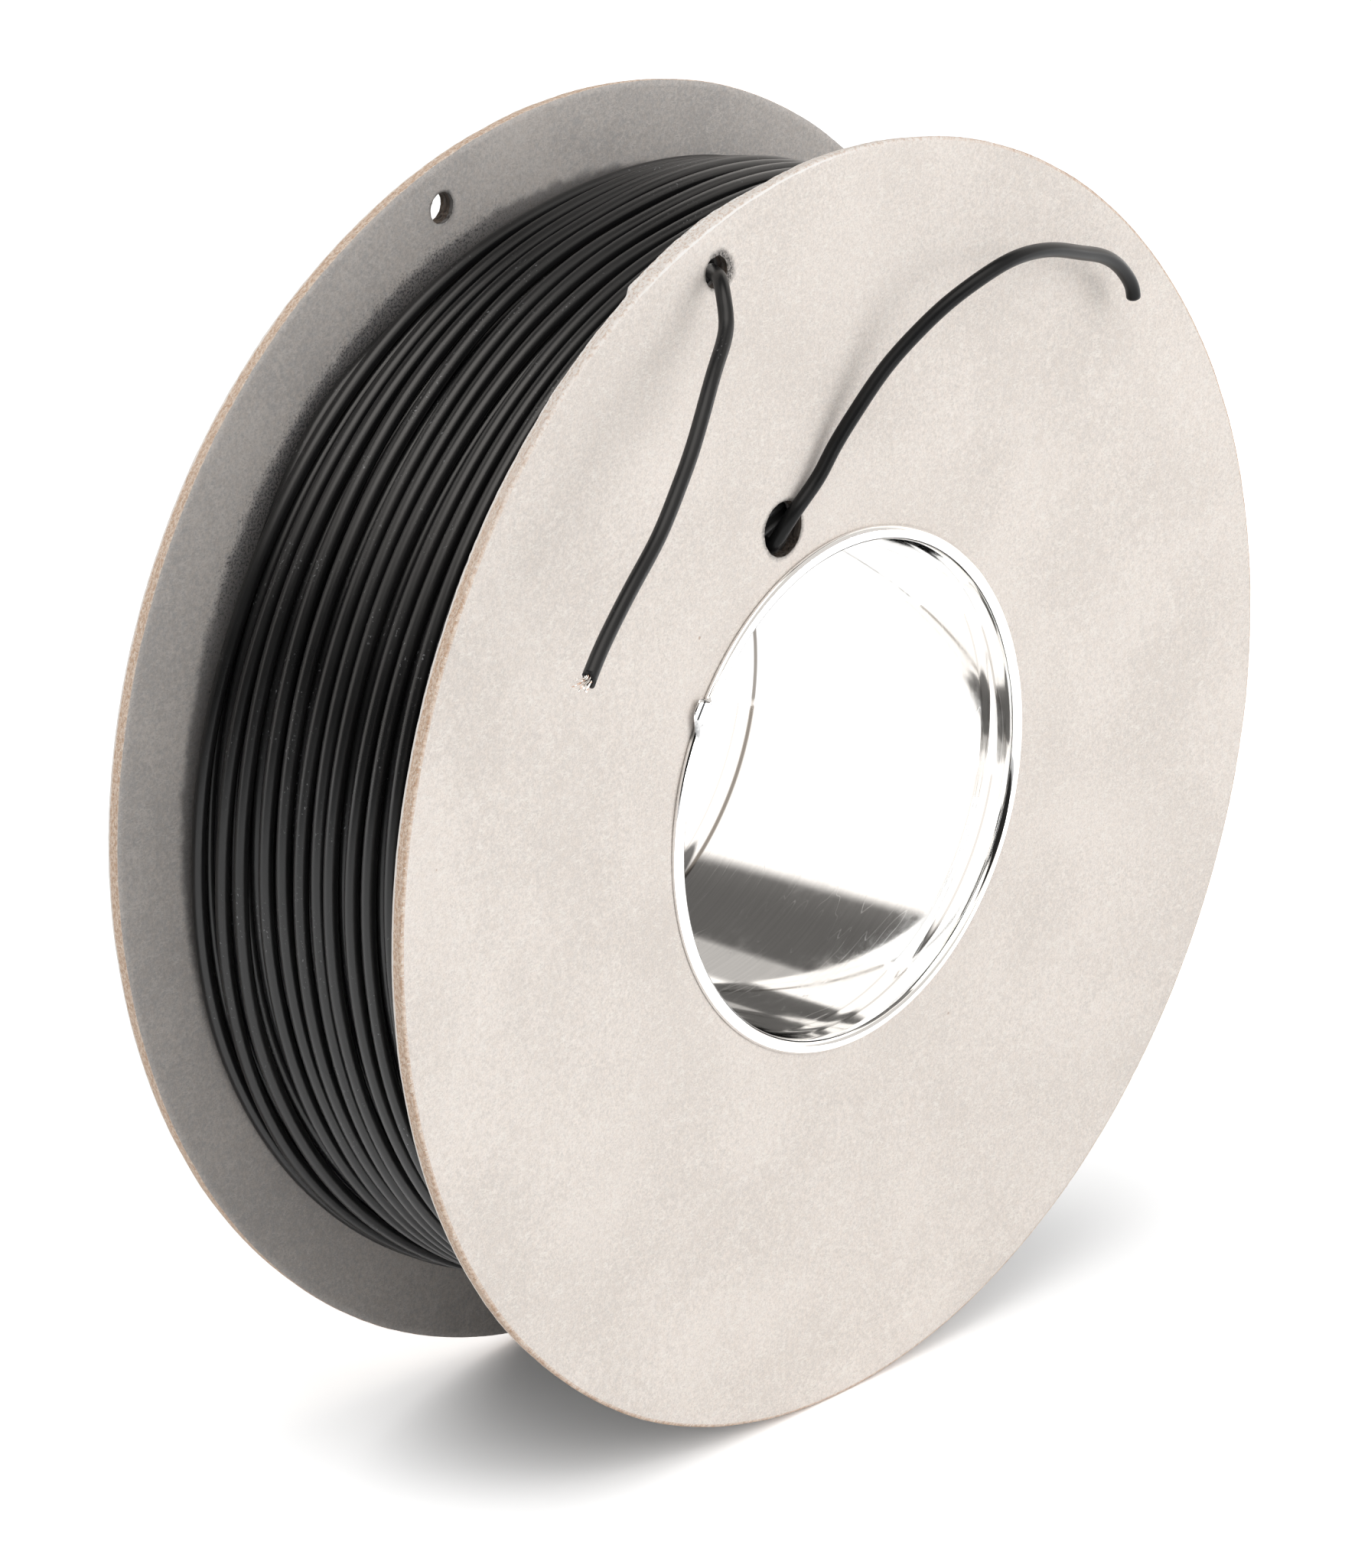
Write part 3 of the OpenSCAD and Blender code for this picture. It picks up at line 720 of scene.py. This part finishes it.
# Where the last layer's turns lie, each at four marks: over the top, the upper left, the
# left and the lower left. They follow the grooves below and cross back behind the reel.
turn_marks = np.radians([0, 45, 90, 140])
turn_lay = 0.001 * np.array([
    (14.2, 15.4, 17.4, 17.2), (11.9, 12.1, 13.8, 15.4), (9.9, 10.2, 11.4, 12.0),
    (8.2, 7.7, 7.8, 8.4), (5.8, 5.3, 5.2, 6.0), (3.0, 2.2, 2.8, 4.1), (0.6, 0.3, 0.5, 1.4),
    (-2.2, -2.0, -1.2, -0.5), (-4.6, -5.0, -4.3, -3.4), (-6.3, -7.2, -6.6, -5.4),
    (-8.4, -9.3, -9.8, -9.2), (-10.2, -11.1, -11.7, -11.3), (-11.9, -12.8, -13.5, -13.1),
    (-13.6, -14.5, -15.3, -15.0), (-15.3, -16.2, -17.0, -16.8),
])


def side_room(turn, radius):
    """Least and greatest Y that a wire's middle can have between the two bent discs."""
    x, z = on_disc(radius, turn)
    clear = disc_inner_face - wire_radius - disc_gap
    return disc_bend(near_bend, x, z) - clear, disc_bend(far_bend, x, z) + clear


def under_y(turn):
    """Y of the layer below at an unwrapped angle: an even share of the room at each angle."""
    low, high = side_room(turn, under_radius)
    share = 1 + (turn - climb_turn) / (2 * np.pi * under_turns)
    return low + (high - low) * share


def pile(turn, y):
    """How far the turns stand above the even layer, where they cross over each other.

    A hump past the top of the reel, highest in the middle of the winding and lower beside
    the discs, and a small one at the lower left beside the far disc.
    """
    angle = np.degrees(wrapped(turn))
    hump = ease(12, -30, angle) * ease(-125, -60, angle)
    sides = 1 - 0.4 * ease(0.006, 0.015, y) - 0.6 * ease(-0.006, -0.015, y)
    low = ease(85, 112, angle) * ease(185, 160, angle) * ease(0.008, 0.014, y)
    return pile_height * hump * sides + small_height * low


def proud(turn, y):
    """How far the layer below's last turn, beside the far disc, stands up at the upper left."""
    angle = np.degrees(wrapped(turn))
    return proud_height * ease(-14, 8, angle) * ease(66, 34, angle) * ease(0.0160, 0.0169, y)


def softened(values, width):
    """Running mean of the values under a raised cosine, with the ends held."""
    window = np.hanning(2 * width + 1)
    padded = np.concatenate([np.full(width, values[0]), values, np.full(width, values[-1])])
    return np.convolve(padded, window / window.sum(), mode="valid")


def top_layer_path():
    """Centre line of the last layer, from its climb behind the far disc to the lead hole.

    Y runs through the marks and is eased to the next turn's first mark behind the reel.
    Neighbouring turns are then pushed apart until no two lie nearer than a wire. The
    radius is where a wire comes to rest on the layer below: the greatest over that
    layer's turns of their radius + sqrt(d^2 - dy^2).
    """
    count = len(turn_lay)
    steps = 180
    knots = (np.arange(count)[:, None] * 2 * np.pi + turn_marks[None]).ravel()
    lay = turn_lay.ravel()
    knots = np.concatenate([[climb_turn, settled_turn], knots, [2 * np.pi * count + leave_turn]])
    lay = np.concatenate([[under_y(climb_turn), settled_y], lay, [leave_y]])
    first = np.arange(climb_turn, 2 * np.pi * count + leave_turn, 2 * np.pi / steps)
    rng = np.random.default_rng(31)
    y = softened(np.interp(first, knots, lay), 9)
    y += lay_jitter * softened(rng.normal(size=len(first)), 6)
    low, high = side_room(first, under_radius + 0.0014)
    for _ in range(160):
        gap = y[:-steps] - y[steps:]
        push = np.clip(2 * wire_radius + turn_gap - gap, 0, None) * 0.5
        y[:-steps] += push
        y[steps:] -= push
        y = np.clip(y, low, high)
    y = softened(y, 3)
    turn_of = first[:, None] - 2 * np.pi * np.arange(-1, under_turns + count + 1)[None]
    below = under_y(turn_of)
    wound = (turn_of <= climb_turn) & (turn_of >= climb_turn - 2 * np.pi * under_turns)
    near = np.clip((2 * wire_radius) ** 2 - (y[:, None] - below) ** 2, 0, None)
    rest = np.where(wound & (near > 0), under_radius + np.sqrt(near), under_radius).max(axis=1)
    rest = softened(rest, 4) + 0.00002
    climbing = ease(climb_turn, climb_turn + climb_reach, first)
    radius = under_radius + (rest - under_radius) * climbing + pile(first, y)
    leaving = ease(first[-1] - leave_reach, first[-1], first)
    radius = radius * (1 - leaving) + leave_radius * leaving
    y = y * (1 - leaving) + leave_y * leaving
    x, z = on_disc(radius, first)
    return np.stack([x, y, z], axis=-1)


def lead_out_path():
    """The last turn leaves along its tangent, crosses over its neighbour and bends into the
    outer lead hole at 60 degrees to the disc: a straight run, an arc of 3 mm and the exit.
    """
    bend_radius, run = 0.0030, 0.0024
    slant = math.radians(60)
    tangent = math.sqrt(outer_hole_at**2 - leave_radius**2)
    bend_start = tangent - run * math.cos(slant) - bend_radius * math.sin(slant)
    depth = bend_radius * (1 - math.cos(slant)) + run * math.sin(slant)
    mid_board = -disc_inner_face - board_thickness / 2
    start_x, start_z = on_disc(leave_radius, leave_turn)
    start = np.array([start_x, 0, start_z])
    along = np.array([-math.cos(leave_turn), 0, -math.sin(leave_turn)])
    s = np.linspace(0, bend_start, 24)[1:]
    crossing_from = 0.42 * bend_start
    past = np.clip((s - crossing_from) / (bend_start - crossing_from), 0, None)
    cross = (1 - np.cos(np.pi * past)) / 2
    straight = start + s[:, None] * along
    straight[:, 1] = leave_y + (mid_board + depth - leave_y) * cross
    a = np.linspace(0, slant, 9)[1:]
    arc_part = start + (bend_start + bend_radius * np.sin(a))[:, None] * along
    arc_part[:, 1] = mid_board + depth - bend_radius * (1 - np.cos(a))
    end = start + tangent * along + np.array([0, mid_board, 0])
    return np.concatenate([straight, arc_part, end[None]])


def headings(path):
    """Unit tangents: the chord of each point's neighbours, one-sided at the ends."""
    along = np.concatenate([path[1:2] - path[:1], path[2:] - path[:-2], path[-1:] - path[-2:-1]])
    return along / np.linalg.norm(along, axis=1, keepdims=True)


def wire_surface(path, radius, sides, upright, hollow=0.0, slant=(0.0, 0.0, 0.0)):
    """Grid of points on a round wire along the path, closed by a flat cut at each end.

    A ring's point is path + radius * (cos a * side + sin a * over), where side is the part
    of upright that is square to the path. The rings of a cut shrink to its middle, which
    lies hollow deep. The last cut is slanted: its points move along the wire by their
    offset from the middle . slant. Also the grid's UV, in metres along and round the wire.
    """
    along = headings(path)
    side = upright - (upright * along).sum(1, keepdims=True) * along
    side /= np.linalg.norm(side, axis=1, keepdims=True)
    over = np.cross(along, side)
    a = (np.arange(sides) * 2 * np.pi / sides)[None, :, None]
    ring = np.cos(a) * side[:, None] + np.sin(a) * over[:, None]
    rim = np.array([0.0, 0.62, 0.74, 1.0])
    back = np.array([hollow, hollow, 0.0, 0.12 * radius])
    start = path[0] + along[0] * back[:, None]
    end = path[-1] - along[-1] * back[::-1, None]
    slanted = ring[-1:] + (ring[-1:] @ np.array(slant))[..., None] * along[-1]
    grid = np.concatenate([
        start[:, None] + (radius * rim)[:, None, None] * ring[:1],
        path[1:-1, None] + radius * ring[1:-1],
        end[:, None] + (radius * rim[::-1])[:, None, None] * slanted,
    ])
    middle = np.concatenate([start, path[1:-1], end])
    run = run_length(middle)
    run[:4] -= radius * (1 - rim)
    run[-4:] += radius * (1 - rim[::-1])
    around = np.arange(sides + 1) * 2 * np.pi * radius / sides
    return grid, grid_uv(around, run)[..., ::-1]


def pvc_material(name, rub, sheen):
    """Black PVC insulation, on the wire's own UV in metres.

    Fine draw marks run along the wire, the sheen drifts in slow patches, and where turns
    have rubbed there are rows of pale specks and a few hair scratches.
    """
    material, g = new_material(name)
    uv = g.node("UVMap").outputs[0]
    place_of = g.node("TexCoord").outputs["Object"]
    drift = g.noise(place_of, 70, 3)
    deep, faded = (0.0095, 0.0096, 0.0098), (0.0140, 0.0140, 0.0142)
    tone = g.mixed(g.between(drift, 0.35, 0.65), deep, faded)
    zone = g.between(g.noise(place_of, 130, 2), 0.50, 0.66)
    around = g.math("DIVIDE", g.node("SeparateXYZ", uv).outputs["Y"], wire_radius)
    outer_side = g.between(g.math("COSINE", around), 0.35, 0.85)
    speck = g.between(g.stretched(uv, (2600, 3000), 2, 3.0, 0.6), 0.62, 0.70)
    tone = g.mixed(g.times(speck, outer_side, zone, rub), tone, (0.42, 0.42, 0.43))
    hair = g.between(g.apart(g.stretched(uv, (160, 900), 1, 9.0), 0.5), 0.0, 0.005, 1.0, 0.0)
    where = g.between(g.stretched(uv, (150, 400), 1, 5.0), 0.62, 0.72)
    tone = g.mixed(g.times(hair, where, 0.35 * rub), tone, (0.09, 0.09, 0.09))
    draw, grain = g.stretched(uv, (40, 5200), 2), g.noise(place_of, 5200, 2)
    g.surface(g.plus(g.times(draw, 0.5), g.times(grain, 0.5)), 0.35, 0.000012, Base_Color=tone,
              Roughness=g.between(drift, 0.3, 0.7, 0.27, 0.36), Specular_IOR_Level=sheen)
    return material


def core_mesh():
    """Revolved block of the plain layers, its two sides scalloped by the turns' own rounds.

    At radius r a side stands out by sqrt(w^2 - (r - r_k)^2) over the turn at r_k, and is
    held off the bent disc beside it.
    """
    columns, waist, shoulder, side_press = 240, 0.0157, 0.0168, 0.0004
    seat_radius, mean_radius = 0.0275, 0.05
    pitch = 2 * wire_radius
    turns_out = int((packed_radius - winding_inner_radius) / pitch)
    local = np.linspace(-0.98, 0.98, 7)
    centres = winding_inner_radius + pitch * (np.arange(turns_out) + 0.5)
    r = (centres[:, None] + wire_radius * local[None]).ravel()
    bulge = wire_radius * np.sqrt(1 - local**2)
    out = disc_inner_face - 2 * wire_radius + side_press + np.tile(bulge, turns_out)
    line = np.concatenate([
        [(seat_radius, -waist), (winding_inner_radius, -waist)], np.stack([r, -out], -1),
        [(packed_radius, -shoulder), (packed_radius, shoulder)], np.stack([r, out], -1)[::-1],
        [(winding_inner_radius, waist), (seat_radius, waist)],
    ])
    turns = np.arange(columns) * 2 * np.pi / columns
    raised = pile(turns[None], line[:, 1:]) * ease(0.040, packed_radius, line[:, :1])
    x, z = on_disc(line[:, :1] + raised, turns[None])
    clear = disc_inner_face - core_gap
    y = np.clip(np.broadcast_to(line[:, 1:], x.shape),
                disc_bend(near_bend, x, z) - clear, disc_bend(far_bend, x, z) + clear)
    return revolved_mesh(line, x, y, z, turns, mean_radius)


def outward(path):
    """Unit vectors from the reel's axis to the path's points."""
    flat = path * (1, 0, 1)
    return flat / np.linalg.norm(flat, axis=1, keepdims=True)


def wire_mesh(path, sides, upright, hollow=0.0, slant=(0.0, 0.0, 0.0)):
    """One closed mesh of a wire along the path."""
    surface = wire_surface(path, wire_radius, sides, upright, hollow, slant)
    return joined_mesh([(*surface, 0, None)])


insulation = pvc_material("black_pvc", 0.45, 0.42)
place("wound_core", core_mesh(), (insulation,), ["wound_layers"])
under_turn = np.linspace(climb_turn - 2 * np.pi * under_turns, climb_turn, int(144 * under_turns))
under_side = under_y(under_turn)
under_rise = pile(under_turn, under_side) + proud(under_turn, under_side)
under_x, under_z = on_disc(under_radius + under_rise, under_turn)
under_path = np.stack([under_x, under_side, under_z], axis=-1)
under_wire = wire_mesh(under_path, 10, outward(under_path))
place("layer_below", under_wire, (insulation,), [])
top_path = np.concatenate([top_layer_path(), lead_out_path()])
top_wire = wire_mesh(top_path, 16, outward(top_path))
place("last_layer", top_wire, (insulation,), ["outer_turns"])


# ---- Wire ends ----
# Both ends of the wire are left free in front of the near disc, as the winder lets go of
# them. The wire bends by hand and keeps its bend, so each end stands off the disc in the
# curve that it was given. The inner end is cut clean; the outer one shows its strands.

inner_route = 0.001 * np.array([
    (-11.6, -17.5, 29.8), (-11.6, -18.8, 29.8), (-11.3, -19.6, 30.8), (-10.9, -20.3, 32.2),
    (-10.1, -20.9, 33.7), (-8.3, -21.2, 35.4), (-6.9, -21.5, 37), (-5.6, -21.7, 38.8),
    (-4.1, -22.1, 40.9), (-2.3, -22.7, 43.3), (0.9, -23.8, 47.2), (3.8, -25.2, 50.3),
    (6.8, -26.9, 53.2), (10.1, -28.3, 55.3), (13.6, -29.1, 56.6), (18.5, -28.9, 56.7),
    (23.4, -28.1, 55.8), (29.7, -26.7, 53.9), (34.9, -25.5, 52.2), (38.2, -24.8, 50.5),
    (40.6, -24.3, 48.6), (42, -24, 46.9), (42.5, -23.8, 45.8),
])
outer_route = np.concatenate([
    top_path[-1:], top_path[-1:] + 0.00185 * headings(top_path)[-1:],
    0.001 * np.array([
        (-23.5, -22, 61.3), (-24.5, -23.2, 60.6), (-25.3, -24.2, 59.4), (-26, -25, 58),
        (-27.5, -26, 56.6), (-30, -27.2, 54.9), (-34, -29, 51.5), (-37.5, -30.2, 47.6),
        (-40.5, -31.2, 45), (-44.5, -32.3, 41.5), (-49.5, -33.5, 38.2), (-54, -34.5, 35),
        (-57, -35.2, 32.6), (-59, -35.7, 30.7),
    ]),
])


def smooth_curve(points, count):
    """Evenly spaced points on the natural cubic spline through the given points.

    The spline's parameter is the chord length; its second derivatives solve the natural
    spline's tridiagonal system, written here as a full matrix.
    """
    t = run_length(points)
    h, n = np.diff(t), len(points)
    system, right = np.eye(n), np.zeros_like(points)
    rows = np.arange(1, n - 1)
    system[rows, rows - 1], system[rows, rows + 1] = h[:-1], h[1:]
    system[rows, rows] = 2 * (h[:-1] + h[1:])
    right[1:-1] = 6 * np.diff(np.diff(points, axis=0) / h[:, None], axis=0)
    bend = np.linalg.solve(system, right)
    s = np.linspace(0, t[-1], 60 * n)
    i = np.clip(np.searchsorted(t, s, side="right") - 1, 0, n - 2)
    a, b, w = (t[i + 1] - s)[:, None], (s - t[i])[:, None], h[i][:, None]
    fine = (bend[i] * a**3 + bend[i + 1] * b**3) / (6 * w)
    fine += (points[i] / w - bend[i] * w / 6) * a + (points[i + 1] / w - bend[i + 1] * w / 6) * b
    run = run_length(fine)
    even = np.linspace(0, run[-1], count)
    return np.stack([np.interp(even, run, fine[:, k]) for k in range(3)], axis=1)


def strand_bundle(path, reach, splay, swept, buried, seed):
    """Sixteen tinned strands of 0.2 mm on rings of 1, 5 and 10 about the path's end.

    Each runs from inside the insulation straight out, then leans outwards by its own
    share of splay, all are swept one way, and each bends a little to one side:
    offset = (lean + swept) * s + bow * s^2. Most are cut off level with the insulation.
    """
    rng = np.random.default_rng(seed)
    strand_radius, most_out, bow_size, ring_twist = 0.0001, 0.00053, 420, 3000
    along = headings(path)[-1]
    side = np.cross(along, (0.0, 0.0, 1.0))
    side /= np.linalg.norm(side)
    over = np.cross(along, side)
    sheets = []
    for radius, count in ((0.0, 1), (0.00022, 5), (0.00043, 10)):
        for j in range(count):
            turn = 2 * np.pi * (j + 0.3 * rng.random()) / count + radius * ring_twist
            away = np.cos(turn) * side + np.sin(turn) * over
            length = 0.1 * reach - 0.4 * buried
            if rng.random() < 0.4:
                length = reach * rng.uniform(0.4, 1.0)
            s = np.linspace(-buried, length, 9)[:, None]
            free = np.clip(s, 0, None)
            lean = splay * rng.uniform(0.25, 1.0) * (radius + strand_radius) / most_out
            bow = rng.normal(size=3) * splay * bow_size
            line = path[-1] + s * along + radius * away + free * (lean * away + np.array(swept))
            line += free**2 * bow
            sheets.append((*wire_surface(line, strand_radius, 8, away + 0.3 * over), 0, None))
    return joined_mesh(sheets, weld=1e-9)


def tinned_material(name):
    """Tinned copper: dull silver with patches where the copper shows."""
    material, g = new_material(name)
    patch = g.noise(g.node("TexCoord").outputs["Object"], 2200, 2)
    tone = g.mixed(g.between(patch, 0.52, 0.64), (0.74, 0.725, 0.70), (0.66, 0.42, 0.30))
    g.surface(None, 0.0, 0.0, Base_Color=tone, Roughness=g.between(patch, 0.3, 0.7, 0.18, 0.34),
              Metallic=1.0)
    return material


tinned = tinned_material("tinned_copper")
handled = pvc_material("handled_pvc", 0.3, 0.26)
dulled = pvc_material("dulled_pvc", 0.2, 0.12)
inner_path = smooth_curve(inner_route, 190)
outer_path = smooth_curve(outer_route, 140)
inner_wire = wire_mesh(inner_path, 24, (0.577, 0.577, 0.577))
inner_end = place("inner_end", inner_wire, (dulled,), ["inner_tail"])
outer_wire = wire_mesh(outer_path, 24, (0.2, 0.3, 0.93), 0.0004, (0.50, -0.22, -0.47))
outer_end = place("outer_end", outer_wire, (handled,), ["outer_tail"])
splayed = strand_bundle(outer_path, 0.0011, 0.55, (-0.30, 0.56, 0.16), 0.0006, 3)
bared_strands = place("bared_strands", splayed, (tinned,), ["outer_strands"])
level = strand_bundle(inner_path, 0.00006, 0.0, (0.0, 0.0, 0.0), 0.0003, 4)
cut_strands = place("cut_strands", level, (tinned,), [])


# ---- Studio ----
# A white table top that runs out of sight and a large soft lamp in front, a little to the
# right and hardly above the table. The room is white behind and beside the reel, dim
# above, and dark on the camera's side, which the tinplate and the wire's sheen show.

table_height = -0.070


def studio_floor():
    """White top, square, large enough that its edge is never seen.

    Far off it grows brighter, as the lamps reach it less, so that it's white everywhere.
    Gloss sees it at a level of its own, with a dimmer sector on the camera's side.
    """
    half = 2.0
    corners = [(-half, -half, table_height), (half, -half, table_height),
               (half, half, table_height), (-half, half, table_height)]
    mesh = bpy.data.meshes.new("table_top")
    mesh.from_pydata(corners, [], [(0, 1, 2, 3)])
    material, g = new_material("white_table")
    path = g.node("LightPath").outputs
    flat = g.vector("MULTIPLY", g.node("TexCoord").outputs["Object"], (1, 1, 0))
    far_off = g.length(flat)
    toward = g.dot(g.vector("NORMALIZE", flat), (-0.906, -0.423, 0.0))
    beyond = g.times(g.between(far_off, 0.40, 0.55), g.between(toward, 0.588, 0.669))
    seen = g.grey(g.between(far_off, 0.7, 1.6, 1.65, 9.0))
    mirrored = g.grey(g.between(far_off, 0.8, 1.8, 1.9, 9.0))
    white = g.mixed(path["Is Camera Ray"], (0.88, 0.88, 0.88), seen)
    white = g.mixed(path["Is Glossy Ray"], white, g.mixed(beyond, mirrored, (0.75, 0.75, 0.75)))
    g.node("OutputMaterial", g.node("BsdfDiffuse", Color=white).outputs[0])
    mesh.materials.append(material)
    floor = bpy.data.objects.new("table_top", mesh)
    bpy.context.scene.collection.objects.link(floor)


def studio_room():
    """World light: white for the camera; for gloss white low down, dim above 50 degrees and
    dark round the camera's side; for soft light a level that grows towards -X.
    """
    world = bpy.data.worlds.new("room")
    bpy.context.scene.world = world
    world.use_nodes = True
    world.node_tree.nodes.clear()
    g = Shading(world.node_tree)
    way = g.node("TexCoord").outputs["Generated"]
    path = g.node("LightPath").outputs

    def lobe(direction, outer, inner, low, high):
        """Level that turns from low to high between two angles round a direction."""
        limits = [math.cos(math.radians(angle)) for angle in (outer, inner)]
        return g.between(g.dot(way, direction), *limits, low, high)

    gloss = g.between(g.dot(way, (0.115, 0.096, 1.0)), 0.765, 0.81, 1.3, 0.20)
    gloss = g.times(gloss, lobe((0.199, 0.611, 0.766), 30, 8, 1.0, 0.62))
    for direction, outer, inner, level in (
        ((-0.655, -0.755, 0.0), 46, 34, 0.02), ((-0.934, -0.358, 0.0), 50, 44, 0.03),
        ((0.546, -0.779, 0.309), 42, 22, 0.72), ((0.520, 0.620, 0.588), 16, 7, 0.52),
    ):
        gloss = g.math("MINIMUM", gloss, lobe(direction, outer, inner, 3.0, level))
    gloss = g.most(gloss, lobe((-0.31, -0.31, 0.90), 36, 16, 0.0, 3.6))
    warm = g.node("CombineColor", g.times(gloss, 1.05), gloss, g.times(gloss, 0.95)).outputs[0]
    soft = g.grey(lobe((-0.98, 0.17, 0.10), 60, 20, 0.34, 0.80))
    light = g.mixed(path["Is Glossy Ray"], soft, warm)
    light = g.mixed(path["Is Camera Ray"], light, (1.0, 1.0, 1.0))
    g.node("OutputWorld", g.node("Background", Color=light, Strength=1.0).outputs[0])


def soft_lamp(name, place_at, size, power):
    """Square lamp of the given side at a place, facing the reel."""
    lamp = bpy.data.lights.new(name, "AREA")
    lamp.shape, lamp.size, lamp.energy = "SQUARE", size, power
    made = bpy.data.objects.new(name, lamp)
    made.location = place_at
    facing = np.array(place_at) / np.linalg.norm(place_at)
    flat = math.hypot(facing[0], facing[1])
    made.rotation_euler = (math.atan2(flat, facing[2]), 0, math.atan2(facing[0], -facing[1]))
    made.visible_glossy = False
    bpy.context.scene.collection.objects.link(made)


studio_floor()
studio_room()
soft_lamp("front_lamp", (0.50, -1.20, 0.10), 0.80, 2.75)
soft_lamp("front_fill", (0.22, -1.13, 0.61), 1.10, 6.6)
soft_lamp("upper_lamp", (-0.45, -0.41, 1.15), 0.85, 3.5)
soft_lamp("back_lamp", (-0.25, 0.93, 0.87), 0.90, 4.8)


# ---- Camera ----
# A long lens level with the winding's upper left, so that the near disc's face, the
# winding between the discs and the bore all show.

view_azimuth, view_elevation = math.radians(-48.979), math.radians(19.351)
lens = bpy.data.cameras.new("camera")
lens.sensor_width, lens.lens, lens.clip_end = 36, 175.61, 20
camera = bpy.data.objects.new("camera", lens)
camera.location = (-0.58747, -0.50801, 0.26886)
camera.rotation_euler = (math.pi / 2 - view_elevation, 0, view_azimuth)
bpy.context.scene.collection.objects.link(camera)
bpy.context.scene.camera = camera
bpy.context.scene.view_settings.view_transform = "Standard"
